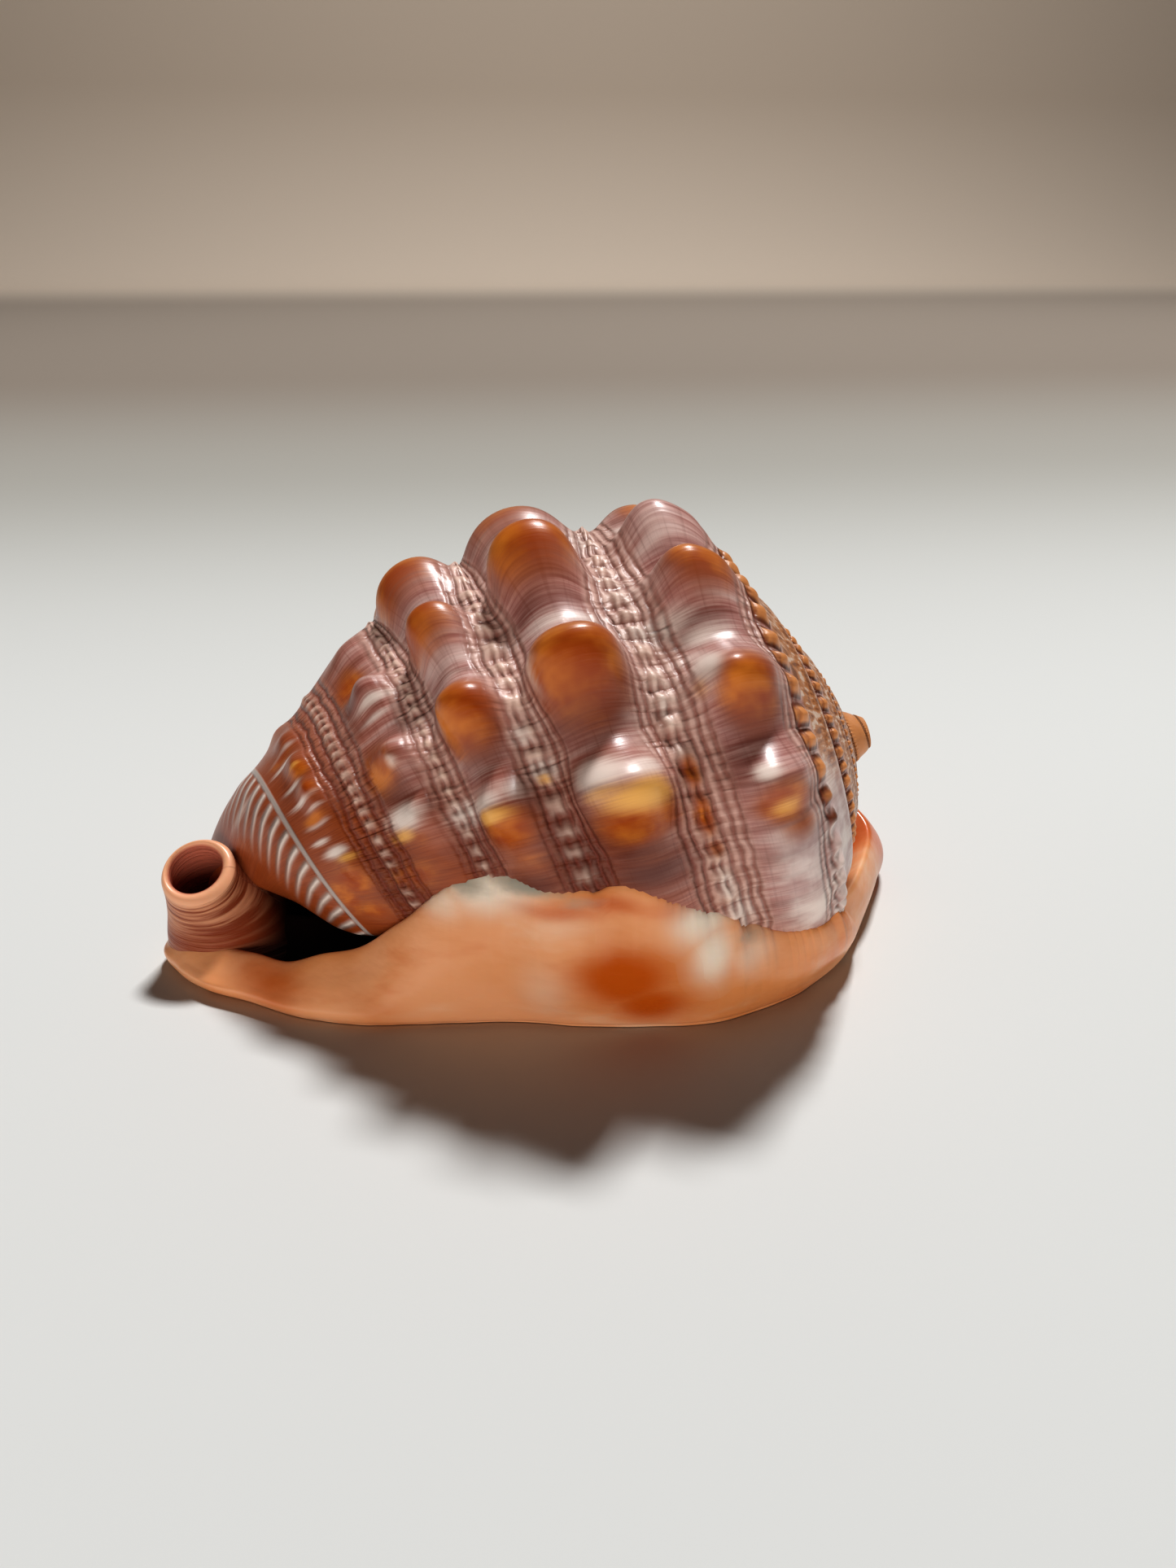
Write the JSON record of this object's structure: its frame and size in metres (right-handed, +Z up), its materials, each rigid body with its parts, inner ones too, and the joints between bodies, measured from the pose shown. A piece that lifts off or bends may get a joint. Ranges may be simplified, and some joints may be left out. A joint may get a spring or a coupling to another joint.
{
  "type": "helmet shell",
  "caption": "Knobbed helmet sea shell, about 14 cm long, lying on its flat toothed aperture, with a rolled orange rim and a turned-up siphonal canal.",
  "frame": {"origin": "centre of the bounding box in plan, on the table", "axes": "+X along the coiling axis seen from above, toward the spire; -Y toward the shield side; +Y toward the outer lip; +Z up"},
  "size_m": [0.1406, 0.1024, 0.0785],
  "materials": {
    "shell": "glossy shell enamel, mauve brown with orange knobs and a peach shield"
  },
  "bodies": {
    "root": {"helmet_shell": "shell"}
  },
  "joints": []
}
